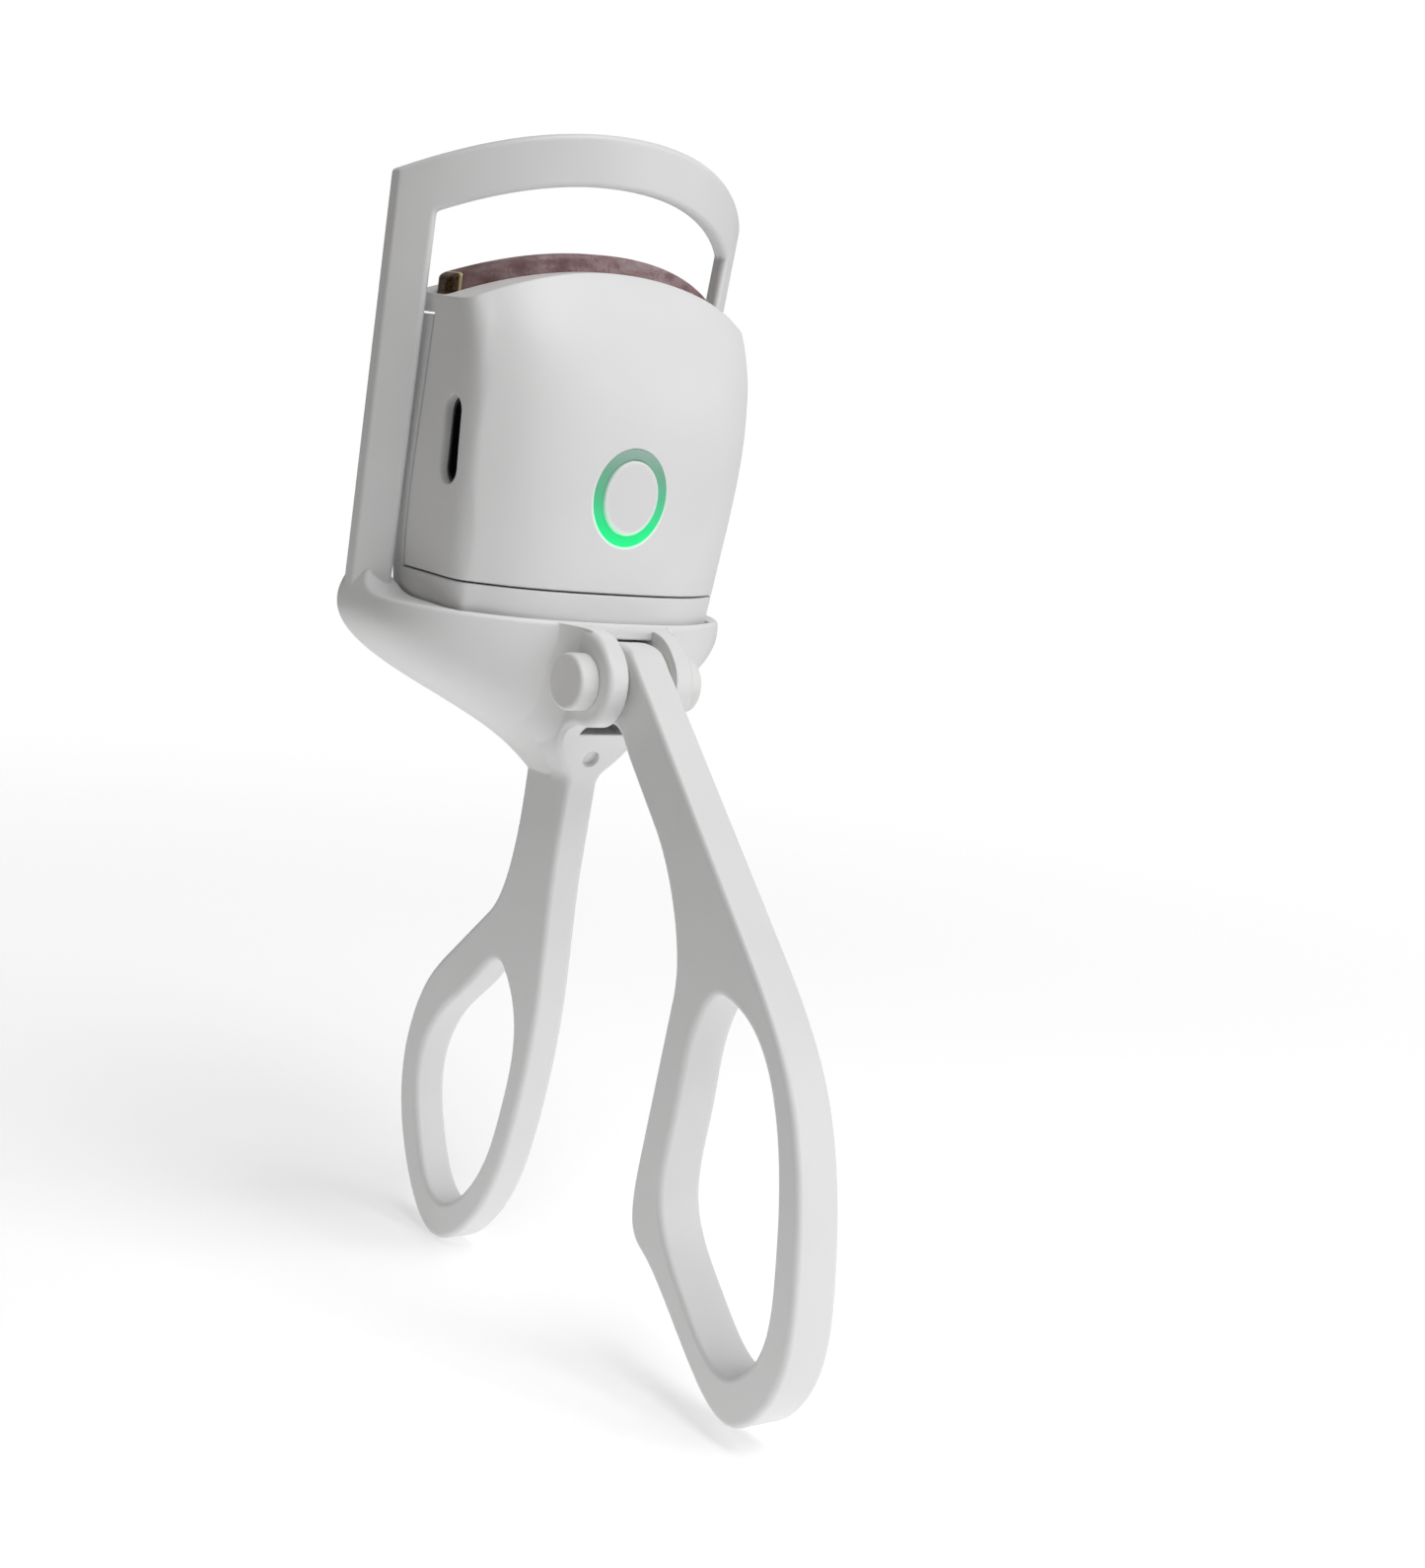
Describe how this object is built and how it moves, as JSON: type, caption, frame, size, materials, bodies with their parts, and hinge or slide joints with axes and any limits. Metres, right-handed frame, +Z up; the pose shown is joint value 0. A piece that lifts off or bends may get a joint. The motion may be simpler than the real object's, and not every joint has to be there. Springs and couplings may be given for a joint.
{
  "type": "eyelash curler",
  "caption": "Cordless heated clamp eyelash curler: two ring handles slide a padded heated jaw up to a curved top bar, with a power button, light ring and charging inlet.",
  "frame": {"origin": "middle of the bottom of the whole object's box, under the handle rings, with the jaws open", "axes": "+Z up along the object from the rings to the jaw, +X to the right across the jaw, -Y towards the button and the front handle"},
  "size_m": [0.044, 0.0762, 0.1251],
  "materials": {
    "white_plastic": "fine satin moulded plastic",
    "head_plastic": "fine satin moulded plastic",
    "cap_plastic": "satin moulded plastic",
    "button_plastic": "satin moulded plastic",
    "silicone": "soft mottled mauve brown silicone",
    "clip_brass": "dark bronze",
    "light_guide": "translucent light guide, lit green",
    "steel": "plain turned steel",
    "connector_steel": "drawn steel, nickel plated",
    "nylon": "natural nylon",
    "brass": "rolled strip",
    "heater_foil": "amber polyimide film",
    "holder_plastic": "heat resistant glass filled plastic",
    "thermistor_bead": "epoxy bead",
    "circuit_board": "solder mask",
    "switch_black": "moulded",
    "led": "clear epoxy",
    "battery_wrap": "foil pouch",
    "red_wire": "silicone insulation"
  },
  "bodies": {
    "fixed_frame": {"frame": "white_plastic", "pivot_pin": "steel", "pivot_cap_left": "cap_plastic", "pivot_cap_right": "cap_plastic", "pivot_washers": "nylon"},
    "squeeze_lever": {"front_handle": "white_plastic", "drive_pin": "steel"},
    "sliding_head": {"rear_shell": "head_plastic", "front_cover": "head_plastic", "light_ring": "light_guide", "silicone_pad": "silicone", "pad_end_clips": "clip_brass", "heater_plate": "brass", "heating_element": "heater_foil", "heater_holder": "holder_plastic", "thermistor": "thermistor_bead", "circuit_board": "circuit_board", "board_screws": "steel", "tact_switch": "switch_black", "status_leds": "led", "usb_c_shell": "connector_steel", "usb_c_tongue": "switch_black", "battery": "battery_wrap", "heater_leads": "red_wire", "battery_leads": "red_wire", "drive_bracket": "holder_plastic", "bracket_screws": "steel", "cover_screws": "steel"},
    "power_button": {"button_cap": "button_plastic"}
  },
  "joints": [
    {"name": "handle_hinge", "type": "hinge", "parent": "fixed_frame", "child": "squeeze_lever", "pos_m": [0, 0.00478, 0.06951], "axis": [1, 0, 0], "range_deg": [0, 25]},
    {"name": "head_slide", "type": "slide", "parent": "fixed_frame", "child": "sliding_head", "axis": [0, -0.108, 0.9942], "range_m": [0, 0.0066]},
    {"name": "button_press", "type": "slide", "parent": "sliding_head", "child": "power_button", "axis": [0, 1, 0], "range_m": [0, 0.0004], "stiffness_N_per_m": 800}
  ],
  "couplings": [
    {"joint": "head_slide", "follows": "handle_hinge", "m_per_rad": 0.015126}
  ]
}
